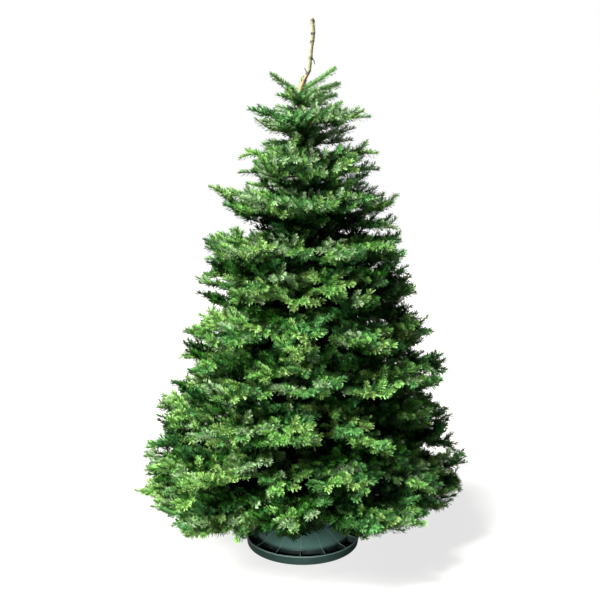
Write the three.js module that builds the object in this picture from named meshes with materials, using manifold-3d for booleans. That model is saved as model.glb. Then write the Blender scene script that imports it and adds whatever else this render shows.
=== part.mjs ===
// A cut fir, two metres tall, clamped in a round moulded stand. Millimetres, +Z up.
// The origin is the centre of the stand's flat underside, and -Y is the front of the tree.
import * as THREE from "three";
import { mergeVertices } from "three/addons/utils/BufferGeometryUtils.js";
import Module from "manifold-3d";

const wasm = await Module();
wasm.setup();

// ---- Driving dimensions ----

const FIT_GAP = 0.4; // clearance between pieces that meet
const TINY = 1e-6; // what counts as zero on a shape of unit size

const DISH = {
  rimRadius: 225,
  footRadius: 219,
  rimHeight: 36,
  wall: 4,
  channelRadius: 184,
  domeRadius: 180,
  domeEdge: 46,
  domeTop: 80,
  collarSeat: 100,
  webs: 14,
  webThickness: 3,
  segments: 36,
};
const CUP = { radius: 84, wall: 6, height: 136, floor: 6, flange: 100, flangeTop: 85, segments: 28 };
const SCREW = { count: 4, radius: 4, height: 112, reach: 124, bossRadius: 9, handle: 46 };

const TRUNK = {
  height: 2000,
  cut: CUP.floor + 0.3,
  buttRadius: 44,
  swell: 6, // the flare at the cut end
  swellHeight: 70, // how quickly the flare dies out
  topRadius: 9, // at the top whorl
  leaderRadius: 4.5,
  leaderNeck: 60, // height over which the trunk narrows to the leader
  sides: 10,
};
const BOUGH = { rootRadius: 12, tipRadius: 8, rise: 28, arch: 10, sides: 6 };

// Tiers from the top down. root and tip are the heights of the tier's middle at the trunk and at its tips,
// left and right are how far its tips reach along -X and +X, and thin is its depth at the tips. turn is the
// angle of its first mass, lift is how much higher its front hangs, and bare is the length of naked bough
// between the trunk and the needles.
const TIERS = [
  { root: 1606, tip: 1674, left: 208, right: 244, thin: 78, masses: 3, turn: 34, lift: 0, bare: 0 },
  { root: 1462, tip: 1508, left: 262, right: 302, thin: 104, masses: 3, turn: 104, lift: 0, bare: 0 },
  { root: 1326, tip: 1368, left: 334, right: 366, thin: 100, masses: 3, turn: 26, lift: 0, bare: 0 },
  { root: 1194, tip: 1180, left: 372, right: 402, thin: 112, masses: 3, turn: 76, lift: 0, bare: 0 },
  { root: 1056, tip: 1038, left: 392, right: 424, thin: 128, masses: 3, turn: 30, lift: 0, bare: 0 },
  { root: 906, tip: 868, left: 452, right: 468, thin: 130, masses: 4, turn: 20, lift: 6, bare: 0 },
  { root: 752, tip: 700, left: 514, right: 540, thin: 138, masses: 4, turn: 66, lift: 20, bare: 70 },
  { root: 598, tip: 532, left: 580, right: 588, thin: 136, masses: 4, turn: 20, lift: 40, bare: 85 },
  { root: 446, tip: 368, left: 674, right: 654, thin: 130, masses: 4, turn: 68, lift: 66, bare: 100 },
  { root: 296, tip: 212, left: 650, right: 634, thin: 96, masses: 4, turn: 18, lift: 92, bare: 110 },
];
// The top whorl's shoots stand evenly round the trunk from the first one's angle. climb is each one's rise at
// its tip as a share of the whorl's, and heart is how far the needles between them reach and rise.
const WHORL = {
  root: 1724,
  tip: 1816,
  left: 132,
  right: 156,
  thin: 40,
  lift: 0,
  climb: [1.22, 0.6, 0.85, 0.3, 0.42],
  firstShoot: 36,
  heart: 0.46,
  sides: 6,
  steps: 35,
};
const MASS = {
  around: 8, // corners round a mass's section
  along: 10, // steps from one edge of its fan to the other
  crowding: 1.6, // how closely the steps crowd to the fan's edges
  bluntness: 0.42, // 1 is a round section, less is a boxier one
  shutting: 0.35, // 1 shuts the fan's edges gradually, less shuts them abruptly
  fullness: 3, // how far out a mass keeps its full depth
  lobes: 2,
  lobeDepth: 0.15,
  ripple: 0.05, // unevenness of the outer edge between lobes
  unevenness: 0.09,
  seam: 1.2, // half the angle left open between neighbours
  layerGap: 8, // height left open between two tiers
  risingCurve: 0.8, // boughs that rise do so near the trunk
  droopingCurve: 1.3, // boughs that droop do so near their tips
  skirt: 71, // how far the last tier hangs below its middle
  shallowFront: 0.88, // the front and back reach, as a share of the sides'
};

// ---- Materials ----

const plastic = (color) => new THREE.MeshStandardMaterial({ color, roughness: 0.45, metalness: 0 });
const BARK = new THREE.MeshStandardMaterial({ color: 0x6b5a44, roughness: 0.9, metalness: 0 });
const NEEDLES = new THREE.MeshStandardMaterial({ color: 0x3c6f35, roughness: 0.6, metalness: 0 });
const DISH_GREEN = plastic(0x3f5f58);
const CUP_GREEN = plastic(0x2e4a44);
const STEEL = new THREE.MeshStandardMaterial({ color: 0x9a9c98, roughness: 0.4, metalness: 1 });

const tree = new THREE.Group();

// ---- Solids ----

function solidOf(geometry) {
  const bare = geometry.index ? geometry.toNonIndexed() : geometry.clone();
  bare.deleteAttribute("normal");
  bare.deleteAttribute("uv");
  const merged = mergeVertices(bare, 1e-3);
  return new wasm.Manifold(
    new wasm.Mesh({
      numProp: 3,
      vertProperties: merged.attributes.position.array,
      triVerts: new Uint32Array(merged.index.array),
    }),
  );
}

function geometryOf(solid) {
  const mesh = solid.getMesh();
  const places = new Float32Array(mesh.numVert * 3);
  for (let i = 0; i < mesh.numVert; i++) {
    places.set(mesh.vertProperties.subarray(i * mesh.numProp, i * mesh.numProp + 3), i * 3);
  }
  const geometry = new THREE.BufferGeometry();
  geometry.setAttribute("position", new THREE.BufferAttribute(places, 3));
  geometry.setIndex(new THREE.BufferAttribute(mesh.triVerts, 1));
  geometry.computeVertexNormals();
  return geometry;
}

function addPart(name, solid, material) {
  const mesh = new THREE.Mesh(geometryOf(solid), material);
  mesh.name = name;
  tree.add(mesh);
}

// The largest of the bodies that a cut leaves.
function mainBody(solid) {
  return solid.decompose().reduce((a, b) => (b.volume() > a.volume() ? b : a));
}

// Moves every vertex of a geometry by a function of its place.
function warp(geometry, moved) {
  const place = geometry.attributes.position;
  const point = new THREE.Vector3();
  for (let i = 0; i < place.count; i++) {
    moved(point.fromBufferAttribute(place, i));
    place.setXYZ(i, point.x, point.y, point.z);
  }
  return geometry;
}

// A solid turned about Z from [radius, height] pairs.
function turned(profile, segments) {
  const outline = profile.map(([r, z]) => new THREE.Vector2(r, z));
  return new THREE.LatheGeometry(outline, segments).rotateX(Math.PI / 2);
}

const radians = (degrees) => THREE.MathUtils.degToRad(degrees);

// ---- Stand: dish, cup and clamp screws ----

function dishSolid() {
  const d = DISH;
  const hole = CUP.radius + FIT_GAP;
  const loop = [
    [hole, d.domeTop],
    [d.collarSeat, d.domeTop],
    [d.domeRadius, d.domeEdge],
    [d.channelRadius, d.domeEdge - 4],
    [d.channelRadius, d.wall + 2],
    [d.footRadius - d.wall, d.wall + 2],
    [d.rimRadius - d.wall, d.rimHeight],
    [d.rimRadius, d.rimHeight],
    [d.footRadius, 0],
    [d.domeRadius - d.wall, 0],
    [d.domeRadius - d.wall, d.domeEdge - d.wall],
    [d.collarSeat, d.domeTop - d.wall],
    [hole, d.domeTop - d.wall],
    [hole, d.domeTop],
  ];
  let dish = solidOf(turned(loop.reverse(), d.segments));
  const webLength = d.rimRadius - d.channelRadius - 1;
  for (let i = 0; i < d.webs; i++) {
    const turn = radians(-92.5 + (360 / d.webs) * i);
    const web = new THREE.BoxGeometry(webLength, d.webThickness, d.rimHeight - d.wall)
      .translate(d.channelRadius - 2 + webLength / 2, 0, (d.rimHeight + d.wall) / 2 - 0.5)
      .rotateZ(turn);
    dish = dish.add(solidOf(web));
  }
  return dish;
}

function cupSolid() {
  const c = CUP;
  const inner = c.radius - c.wall;
  const loop = [
    [0, 0],
    [c.radius, 0],
    [c.radius, DISH.domeTop + FIT_GAP],
    [c.flange, DISH.domeTop + FIT_GAP],
    [c.flange, c.flangeTop],
    [c.radius, c.flangeTop + 1],
    [c.radius, c.height - 7],
    [c.radius + 4, c.height - 6],
    [c.radius + 4, c.height],
    [inner, c.height],
    [inner, c.floor],
    [0, c.floor],
  ];
  let cup = solidOf(turned(loop, c.segments));
  for (let i = 0; i < SCREW.count; i++) {
    const turn = radians(45 + 90 * i);
    const boss = alongX(SCREW.bossRadius, inner + 1, c.radius + 9, 10).rotateZ(turn);
    const hole = alongX(SCREW.radius + FIT_GAP, inner - 8, c.radius + 20, 6).rotateZ(turn);
    cup = cup.add(solidOf(boss)).subtract(solidOf(hole));
  }
  return cup;
}

// A cylinder at screw height that runs out along +X between two radii.
function alongX(radius, from, to, sides) {
  return new THREE.CylinderGeometry(radius, radius, to - from, sides)
    .rotateZ(Math.PI / 2)
    .translate((from + to) / 2, 0, SCREW.height);
}

function screwSolid(turn) {
  const s = SCREW;
  const tip = trunkRadius(s.height) + FIT_GAP;
  const handle = new THREE.CylinderGeometry(s.radius, s.radius, s.handle, 6)
    .rotateX(Math.PI / 2)
    .translate(s.reach, 0, s.height);
  const pad = alongX(7, tip, tip + 4, 8);
  return solidOf(alongX(s.radius, tip + 2, s.reach, 6))
    .add(solidOf(pad))
    .add(solidOf(handle))
    .rotate([0, 0, turn]);
}

// ---- Trunk ----

// The trunk's sideways lean at rising heights. It leans a little to the left below the top whorl, and its
// leader kinks back to the right.
const LEAN = new THREE.CatmullRomCurve3(
  [
    [0, 0],
    [2, 700],
    [0, 1500],
    [-12, 1680],
    [-13, 1725],
    [4, 1780],
    [20, 1803],
    [26, 1848],
    [31, 1900],
    [38, 1944],
    [32, TRUNK.height],
  ].map(([x, z]) => new THREE.Vector3(x, 0, z)),
);
const LEAN_POINTS = LEAN.getSpacedPoints(160);

function trunkLean(z) {
  const above = Math.max(1, LEAN_POINTS.findIndex((p) => p.z >= z));
  const high = LEAN_POINTS[above];
  const low = LEAN_POINTS[above - 1];
  return THREE.MathUtils.mapLinear(Math.min(z, high.z), low.z, high.z, low.x, high.x);
}

// A flare at the cut, a steady taper up to the top whorl, then the thin leader.
function trunkRadius(z) {
  const t = TRUNK;
  const flare = t.swell * Math.exp(-z / t.swellHeight);
  const taper = THREE.MathUtils.lerp(t.buttRadius, t.topRadius, Math.min(z / WHORL.root, 1) ** 0.9);
  const narrowed = THREE.MathUtils.clamp((z - WHORL.root) / t.leaderNeck, 0, 1);
  return THREE.MathUtils.lerp(flare + taper, t.leaderRadius, narrowed);
}

function trunkSolid(clearance = 0) {
  const heights = [TRUNK.cut, 40, 90, 180, 300];
  for (let z = 450; z < 1700; z += 160) heights.push(z);
  for (let z = 1700; z < TRUNK.height - 10; z += 28) heights.push(z);
  heights.push(TRUNK.height - 4);
  const side = heights.map((z) => [trunkRadius(z) + clearance, z]);
  const foot = TRUNK.cut - 2 * clearance;
  const loop = [[0, foot], [side[0][0], foot], ...side.slice(1), [0, TRUNK.height]];
  return solidOf(warp(turned(loop, TRUNK.sides), (p) => (p.x += trunkLean(p.z))));
}

// ---- Foliage masses and the boughs that carry them ----

const LAYERS = [WHORL, ...TIERS];

// A smooth unevenness from -1 to 1 that depends on place and on which mass it is.
function uneven(a, b, seed) {
  return (
    0.5 * Math.sin(2.3 * a + 1.7 * seed) +
    0.3 * Math.sin(3.1 * b + 0.9 * seed + a) +
    0.2 * Math.sin(5.3 * a - 2.1 * b + 2.7 * seed)
  );
}

// How far a tier's tips reach towards an angle, before its lobes.
function reach(tier, angle) {
  const side = (tier.left + tier.right) / 2 + ((tier.right - tier.left) / 2) * Math.cos(angle);
  const flat = THREE.MathUtils.lerp(1, MASS.shallowFront, Math.sin(angle) ** 2);
  return side * flat;
}

// The height of a tier's middle at a radius and angle.
function middle(tier, radius, angle) {
  const out = Math.min(radius / reach(tier, angle), 1.05);
  const front = Math.max(0, -Math.sin(angle)) ** 2;
  const curve = tier.tip > tier.root ? MASS.risingCurve : MASS.droopingCurve;
  return THREE.MathUtils.lerp(tier.root, tier.tip + tier.lift * front, out ** curve);
}

// Raises a sine or cosine to a power without losing its sign.
const blunt = (wave) => Math.sign(wave) * Math.abs(wave) ** MASS.bluntness;

// Half a tier's depth towards its neighbour above or below. Near the trunk it fills the space between them,
// and at the tips it thins.
function halfDepth(level, way, radius, angle, share) {
  const tier = LAYERS[level];
  const neighbour = LAYERS[level + way];
  const apart = neighbour ? Math.abs(middle(neighbour, radius, angle) - middle(tier, radius, angle)) : 0;
  const room = neighbour ? (apart - MASS.layerGap) / 2 : MASS.skirt;
  return THREE.MathUtils.lerp(room, Math.min(room, tier.thin / 2), share ** MASS.fullness);
}

// Needles fill a fan round part of the tier. It is a ball whose poles are drawn to the fan's two edges.
function massSolid(level, index, grow = 0) {
  const tier = LAYERS[level];
  const half = radians(180 / tier.masses - MASS.seam) + grow / 150;
  const centre = massAngle(tier, index);
  const seed = tier.root / 97 + index;
  const ball = new THREE.SphereGeometry(1, MASS.around, MASS.along).rotateX(Math.PI / 2);
  warp(ball, (p) => {
    const pole = Math.hypot(p.x, p.y) < TINY;
    const along = pole ? Math.sign(p.z) : 1 - (2 * Math.acos(p.z)) / Math.PI;
    const across = Math.sign(along) * (1 - (1 - Math.abs(along)) ** MASS.crowding);
    const round = pole ? 0 : Math.atan2(Math.abs(p.y) < TINY ? 0 : p.y, p.x);
    const shut = pole ? 0 : (1 - across ** 4) ** MASS.shutting;
    const angle = centre - across * half;
    const lobe = 0.5 - 0.5 * Math.cos(Math.PI * MASS.lobes * (across + 1));
    const bump = uneven(angle * 3, round * 2, seed);
    const outer = reach(tier, angle) * (1 - MASS.lobeDepth * (1 - lobe) + MASS.ripple * bump);
    const inner = trunkRadius(tier.root) + Math.max(tier.bare, 4);
    const share = pole ? 0.5 : 0.5 + 0.5 * blunt(Math.cos(round));
    const radius = THREE.MathUtils.lerp(inner - grow, outer + grow, share);
    const full = 1 - (MASS.unevenness * (1 - bump)) / 2;
    const depth = halfDepth(level, -Math.sign(Math.sin(round)), radius, angle, share) * full * shut + grow;
    p.z = middle(tier, radius, angle) + depth * blunt(Math.sin(round));
    p.x = trunkLean(tier.root) * (1 - share) + radius * Math.cos(angle);
    p.y = radius * Math.sin(angle);
  });
  return solidOf(ball);
}

function massAngle(tier, index) {
  return radians(tier.turn + (360 / tier.masses) * index);
}

// The top whorl's shoots make one star round the trunk.
function whorlSolid() {
  const w = WHORL;
  const shoots = w.climb.length;
  const ring = new THREE.TorusGeometry(1, 0.5, w.sides, w.steps).rotateZ(radians(w.firstShoot));
  warp(ring, (p) => {
    const angle = Math.atan2(p.y, p.x);
    const round = Math.atan2(p.z, Math.hypot(p.x, p.y) - 1);
    const turn = THREE.MathUtils.euclideanModulo(angle - radians(w.firstShoot), 2 * Math.PI);
    const nearest = Math.round((turn * shoots) / (2 * Math.PI)) % shoots;
    const shoot = (0.5 + 0.5 * Math.cos(shoots * turn)) ** 1.5;
    const climb = THREE.MathUtils.lerp(w.heart, w.climb[nearest], shoot);
    const outer = reach(w, angle) * THREE.MathUtils.lerp(w.heart, 1, shoot);
    const share = 0.5 + 0.5 * Math.cos(round);
    const radius = THREE.MathUtils.lerp(trunkRadius(w.root) + 3, outer, share);
    const rise = ((w.tip - w.root) * climb * radius) / reach(w, angle);
    const depth = (w.thin / 2) * (1.6 - 0.85 * share);
    p.set(
      trunkLean(w.root) + radius * Math.cos(angle),
      radius * Math.sin(angle),
      w.root + rise + depth * Math.sin(round),
    );
  });
  return solidOf(ring);
}

// A limb that leaves the trunk, rises and levels out on the way to its needles.
function boughSolid(tier, index) {
  const angle = massAngle(tier, index);
  const end = trunkRadius(tier.root) + tier.bare + 2 * BOUGH.tipRadius;
  const limb = new THREE.CylinderGeometry(BOUGH.tipRadius, BOUGH.rootRadius, end, BOUGH.sides, 2)
    .rotateX(Math.PI / 2)
    .translate(0, 0, end / 2);
  warp(limb, (p) => {
    const out = p.z;
    const share = out / end;
    const arch = BOUGH.arch * Math.sin(Math.PI * share) - BOUGH.rise * (1 - share);
    const height = middle(tier, end, angle) + arch - p.x;
    const side = p.y;
    p.set(
      out * Math.cos(angle) - side * Math.sin(angle),
      out * Math.sin(angle) + side * Math.cos(angle),
      height,
    );
  });
  return solidOf(limb);
}

// ---- Assembly ----

addPart("stand_dish", dishSolid(), DISH_GREEN);
addPart("stand_cup", cupSolid(), CUP_GREEN);
for (let i = 0; i < SCREW.count; i++) {
  addPart(`clamp_screw_${i + 1}`, screwSolid(45 + 90 * i), STEEL);
}
addPart("trunk", trunkSolid(), BARK);

const roundTrunk = trunkSolid(FIT_GAP);
addPart("needles_top_whorl", whorlSolid(), NEEDLES);
LAYERS.slice(1).forEach((tier, row) => {
  const level = row + 1;
  for (let i = 0; i < tier.masses; i++) {
    const label = `${level + 1}_${i + 1}`;
    addPart(`needles_tier_${label}`, massSolid(level, i), NEEDLES);
    if (tier.bare) {
      const limb = boughSolid(tier, i).subtract(roundTrunk).subtract(massSolid(level, i, FIT_GAP));
      addPart(`bough_tier_${label}`, mainBody(limb), BARK);
    }
  }
});

export default tree;
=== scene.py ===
import math
import random

import bmesh
import bpy
import numpy as np
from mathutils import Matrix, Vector, noise
from mathutils.bvhtree import BVHTree


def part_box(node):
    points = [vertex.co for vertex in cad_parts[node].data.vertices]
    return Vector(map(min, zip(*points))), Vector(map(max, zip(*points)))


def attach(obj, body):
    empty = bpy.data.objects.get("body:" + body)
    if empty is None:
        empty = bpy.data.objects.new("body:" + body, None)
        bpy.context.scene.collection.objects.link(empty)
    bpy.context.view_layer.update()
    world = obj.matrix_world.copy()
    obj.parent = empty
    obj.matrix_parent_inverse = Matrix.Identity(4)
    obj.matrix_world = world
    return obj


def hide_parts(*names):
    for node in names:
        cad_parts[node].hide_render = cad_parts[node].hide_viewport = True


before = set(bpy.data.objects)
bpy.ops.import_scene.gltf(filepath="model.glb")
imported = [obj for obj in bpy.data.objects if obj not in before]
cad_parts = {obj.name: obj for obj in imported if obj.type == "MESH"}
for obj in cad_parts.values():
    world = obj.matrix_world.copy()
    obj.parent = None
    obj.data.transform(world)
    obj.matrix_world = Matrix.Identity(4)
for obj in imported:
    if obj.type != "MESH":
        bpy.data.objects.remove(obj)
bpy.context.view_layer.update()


# ---- Camera ----
# It stands about three metres in front of the tree, at three quarters of its height, and looks a little down.

CAMERA_PLACE = (-0.0105, -3.203, 1.490)
CAMERA_DOWN = math.radians(9.27)

camera = bpy.data.objects.new("camera", bpy.data.cameras.new("camera"))
camera.data.sensor_width = 36
camera.data.lens = 51.2
camera.location = CAMERA_PLACE
camera.rotation_euler = (math.pi / 2 - CAMERA_DOWN, 0, 0)
bpy.context.scene.collection.objects.link(camera)
bpy.context.scene.camera = camera


# ---- Stand dish ----
# A shallow round dish of dark green polypropylene, moulded in one piece. Its rim ends in a small bead, and
# fourteen webs cross the water channel between the outer wall and the ribbed dome that seats the cup.

DISH_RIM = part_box("stand_dish")[1].x
DISH_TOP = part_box("stand_dish")[1].z
CUP_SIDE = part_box("stand_dish")[1].x * 0.3733
RIM_HEIGHT = 0.0345
BEAD = 0.0021
WALL = 0.004
FOOT = DISH_RIM - 0.006
CHANNEL = DISH_RIM - 0.041
CHANNEL_FLOOR = 0.006
DOME_EDGE = DISH_RIM - 0.046
DOME_EDGE_HEIGHT = 0.046
COLLAR = DISH_RIM - 0.125
WEBS = 14
FIRST_WEB = math.radians(-92.5)
FINE_RIBS = WEBS * 6


class Wire:
    """One output of a node. Arithmetic on it adds Math nodes to its tree."""

    def __init__(self, net, socket):
        self.net = net
        self.socket = socket

    def maths(self, operation, *values):
        return self.net.add("ShaderNodeMath", {"operation": operation}, dict(enumerate(values)))

    def __add__(self, other):
        return self.maths("ADD", self, other)

    def __radd__(self, other):
        return self.maths("ADD", other, self)

    def __sub__(self, other):
        return self.maths("SUBTRACT", self, other)

    def __rsub__(self, other):
        return self.maths("SUBTRACT", other, self)

    def __mul__(self, other):
        return self.maths("MULTIPLY", self, other)

    def __rmul__(self, other):
        return self.maths("MULTIPLY", other, self)

    def __truediv__(self, other):
        return self.maths("DIVIDE", self, other)

    def __pow__(self, other):
        return self.maths("POWER", self, other)

    def clamped(self):
        return self.net.add("ShaderNodeClamp", {}, {"Value": self})


class Net:
    """A tree of nodes under construction."""

    def __init__(self, tree):
        self.tree = tree

    def add(self, kind, settings=None, inputs=None, output=0):
        """Adds a node, sets it up, joins its inputs, and returns one of its outputs."""
        node = self.tree.nodes.new(kind)
        for key, value in (settings or {}).items():
            if key == "stops":
                self.set_stops(node.color_ramp, value)
            else:
                setattr(node, key, value)
        taken = [s for s in node.inputs if s.enabled]
        for key, value in (inputs or {}).items():
            socket = taken[key] if isinstance(key, int) else next(s for s in taken if s.name == key)
            self.join(value, socket)
        given = [s for s in node.outputs if s.enabled]
        if isinstance(output, str):
            return Wire(self, next(s for s in given if s.name == output))
        return Wire(self, given[output]) if given else node

    def join(self, value, socket):
        if isinstance(value, Wire):
            self.tree.links.new(value.socket, socket)
        else:
            socket.default_value = value

    def set_stops(self, ramp, stops):
        for i, (place, color) in enumerate(stops):
            stop = ramp.elements[i] if i < 2 else ramp.elements.new(place)
            stop.position = place
            stop.color = (*color, 1)


def surface(name, **plain):
    """A new material. Returns it with its net and its shader, whose plain settings are given by name."""
    material = bpy.data.materials.new(name)
    material.use_nodes = True
    net = Net(material.node_tree)
    shader = material.node_tree.nodes["Principled BSDF"]
    for key, value in plain.items():
        shader.inputs[key.replace("_", " ")].default_value = value
    return material, net, shader


def object_place(net):
    return net.add("ShaderNodeTexCoord", output="Object")


def cloud(net, scale, detail=4.0, roughness=0.55):
    """Soft noise from 0 to 1 on the object's own coordinates."""
    size = {"Vector": object_place(net), "Scale": scale, "Detail": detail, "Roughness": roughness}
    return net.add("ShaderNodeTexNoise", {}, size, "Fac")


def blend_colors(net, share, first, second):
    mix = {"data_type": "RGBA", "clamp_factor": True}
    colors = [color if isinstance(color, Wire) else (*color, 1) for color in (first, second)]
    return net.add("ShaderNodeMix", mix, {"Factor": share, "A": colors[0], "B": colors[1]})


def bump(net, shader, height, strength, distance):
    """Raises the surface by a height field."""
    normal = net.add("ShaderNodeBump", {}, {"Strength": strength, "Distance": distance, "Height": height})
    net.join(normal, shader.inputs["Normal"])


def moulded_plastic(name, color, pale, dome=None):
    """Matt polypropylene: a fine moulded grain, and rubbed patches with thin scratches.

    A dish is given a paler colour for its dome too, a painted light, and the channel between them is darkened low down
    as painted shade.
    """
    material, net, shader = surface(name, Specular_IOR_Level=0.5)
    if dome:
        place = object_place(net)
        level = net.add("ShaderNodeVectorMath", {"operation": "MULTIPLY"}, {0: place, 1: (1.0, 1.0, 0.0)})
        radius = net.add("ShaderNodeVectorMath", {"operation": "LENGTH"}, {0: level}, "Value")
        height = net.add("ShaderNodeSeparateXYZ", {}, {"Vector": place}, "Z")
        within_wall = ((FOOT - WALL - radius) * 500).clamped()
        # Painted shade: inside the outer wall, the channel and the dome's side below its edge are darkened to near
        # black.
        painted_shade_mask = ((DOME_EDGE_HEIGHT - 0.004 - height) * 200).clamped() * within_wall
        # Painted light: from its edge inward the dome takes a paler, lit colour.
        color = blend_colors(net, ((DOME_EDGE + 0.004 - radius) * 160).clamped(), color, dome)
        color = blend_colors(net, painted_shade_mask * 0.85, color, (0.006, 0.012, 0.010))
    rubbed = net.add("ShaderNodeMapRange", {}, {"Value": cloud(net, 14), "From Min": 0.5, "From Max": 0.72})
    stretched = net.add("ShaderNodeMapping", {}, {"Vector": object_place(net), "Scale": (260, 18, 60)})
    scratch = net.add("ShaderNodeTexNoise", {}, {"Vector": stretched, "Scale": 1.0, "Detail": 3.0}, "Fac")
    scratches = net.add("ShaderNodeMapRange", {}, {"Value": scratch, "From Min": 0.62, "From Max": 0.7})
    worn = (rubbed * 0.35 + scratches * 0.25).clamped()
    net.join(blend_colors(net, worn, color, pale), shader.inputs["Base Color"])
    net.join(0.34 + rubbed * 0.16 + cloud(net, 60) * 0.08, shader.inputs["Roughness"])
    bump(net, shader, cloud(net, 900, 2.0) * 0.6 + scratches * 0.4, 0.25, 0.0003)
    return material


def rounded(corners, radius, steps=4, open_ends=False):
    """The outline through [radius, height] corners, with each corner rounded off."""
    corners = [Vector(corner) for corner in corners]
    outline = []
    for i, corner in enumerate(corners):
        if open_ends and i in (0, len(corners) - 1):
            outline.append(corner)
            continue
        back = corners[i - 1] - corner
        ahead = corners[(i + 1) % len(corners)] - corner
        cut = min(radius, back.length * 0.45, ahead.length * 0.45)
        start = corner + back.normalized() * cut
        end = corner + ahead.normalized() * cut
        for t in np.linspace(0, 1, steps + 1):
            outline.append(start.lerp(corner, t).lerp(corner.lerp(end, t), t))
    return outline


def turned(outline, segments, closed=True):
    """A mesh turned about Z from an outline. An open outline starts and ends on the axis."""
    mesh = bpy.data.meshes.new("turned")
    build = bmesh.new()
    rings = []
    for radius, height in outline:
        if radius < 1e-6:
            rings.append([build.verts.new((0, 0, height))] * segments)
            continue
        angles = [math.tau * k / segments for k in range(segments)]
        rings.append([build.verts.new((radius * math.cos(a), radius * math.sin(a), height)) for a in angles])
    for i in range(len(rings) - (0 if closed else 1)):
        low, high = rings[i], rings[(i + 1) % len(rings)]
        for k in range(segments):
            corners = [low[k], low[(k + 1) % segments], high[(k + 1) % segments], high[k]]
            build.faces.new(dict.fromkeys(corners))
    bmesh.ops.recalc_face_normals(build, faces=build.faces)
    for face in build.faces:
        face.smooth = True
    build.to_mesh(mesh)
    build.free()
    return mesh


def new_object(name, mesh, material=None):
    piece = bpy.data.objects.new(name, mesh)
    bpy.context.scene.collection.objects.link(piece)
    if material:
        mesh.materials.append(material)
    return piece


def grown(source, tree, values):
    """Runs a node tree once on an object and leaves the result as its plain mesh."""
    modifier = source.modifiers.new("growth", "NODES")
    modifier.node_group = tree
    sockets = [item for item in tree.interface.items_tree if item.item_type == "SOCKET"]
    identifiers = {item.name: item.identifier for item in sockets if item.in_out == "INPUT"}
    for key, value in values.items():
        modifier[identifiers[key]] = value
    graph = bpy.context.evaluated_depsgraph_get()
    mesh = bpy.data.meshes.new_from_object(source.evaluated_get(graph), depsgraph=graph)
    source.modifiers.remove(modifier)
    old = source.data
    source.data = mesh
    bpy.data.meshes.remove(old)
    return source


def open_tree(name, inputs):
    """A geometry tree with a mesh and named inputs. Returns its net and a wire for each input."""
    tree = bpy.data.node_groups.new(name, "GeometryNodeTree")
    kinds = {"Geometry": "NodeSocketGeometry", "Material": "NodeSocketMaterial", "Seed": "NodeSocketInt"}
    kinds.update({"Count": "NodeSocketInt", "Sides": "NodeSocketInt"})
    for label in ["Geometry", *inputs]:
        tree.interface.new_socket(label, in_out="INPUT", socket_type=kinds.get(label, "NodeSocketFloat"))
    tree.interface.new_socket("Geometry", in_out="OUTPUT", socket_type="NodeSocketGeometry")
    net = Net(tree)
    entry = tree.nodes.new("NodeGroupInput")
    return net, {s.name: Wire(net, s) for s in entry.outputs if s.name}


def close_tree(net, geometry, material):
    """Ends a geometry tree: real geometry instead of instances, with its material."""
    real = net.add("GeometryNodeRealizeInstances", {}, {"Geometry": geometry})
    finished = net.add("GeometryNodeSetMaterial", {}, {"Geometry": real, "Material": material})
    net.join(finished, net.tree.nodes.new("NodeGroupOutput").inputs[0])
    return net.tree


def ring_tree():
    """Copies of a piece, evenly round the stand's axis."""
    net, given = open_tree("pieces_round_the_axis", ["Count", "First angle", "Material"])
    points = net.add("GeometryNodePoints", {}, {"Count": given["Count"]})
    index = net.add("GeometryNodeInputIndex")
    turn = index * math.tau / given["Count"] + given["First angle"]
    turned_by = net.add("ShaderNodeCombineXYZ", {}, {"Z": turn})
    rotation = net.add("FunctionNodeEulerToRotation", {}, {"Euler": turned_by})
    copies = {"Points": points, "Instance": given["Geometry"], "Rotation": rotation}
    return close_tree(net, net.add("GeometryNodeInstanceOnPoints", {}, copies), given["Material"])


def rib(outline, foot_width, top_width):
    """A thin upright rib along +X. outline lists (radius, foot height, top height)."""
    mesh = bpy.data.meshes.new("rib")
    build = bmesh.new()
    rows = []
    for radius, foot, top in outline:
        sides = [(-foot_width / 2, foot), (-top_width / 2, top), (top_width / 2, top), (foot_width / 2, foot)]
        rows.append([build.verts.new((radius, y, z)) for y, z in sides])
    for one, two in zip(rows, rows[1:]):
        for k in range(4):
            build.faces.new([one[k], one[(k + 1) % 4], two[(k + 1) % 4], two[k]])
    build.faces.new(rows[0])
    build.faces.new(rows[-1])
    bmesh.ops.recalc_face_normals(build, faces=build.faces)
    build.to_mesh(mesh)
    build.free()
    return mesh


def stand_in(piece, slot, *nodes):
    """The piece rides with the tree and takes the place of CAD nodes."""
    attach(piece, "root")
    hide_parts(*nodes)
    return piece


def dome_height(radius):
    """The dome swells a little between its edge and the collar."""
    share = (DOME_EDGE - radius) / (DOME_EDGE - COLLAR)
    return DOME_EDGE_HEIGHT + (DISH_TOP - 0.0005 - DOME_EDGE_HEIGHT) * math.sin(share * math.pi / 2) ** 0.85


# Painted highlight: a far paler copy of the dish's plastic, for the rim's bead and the webs' top edges.
painted_highlight_green = moulded_plastic("painted_highlight_plastic", (0.34, 0.52, 0.48), (0.44, 0.60, 0.56))
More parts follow.
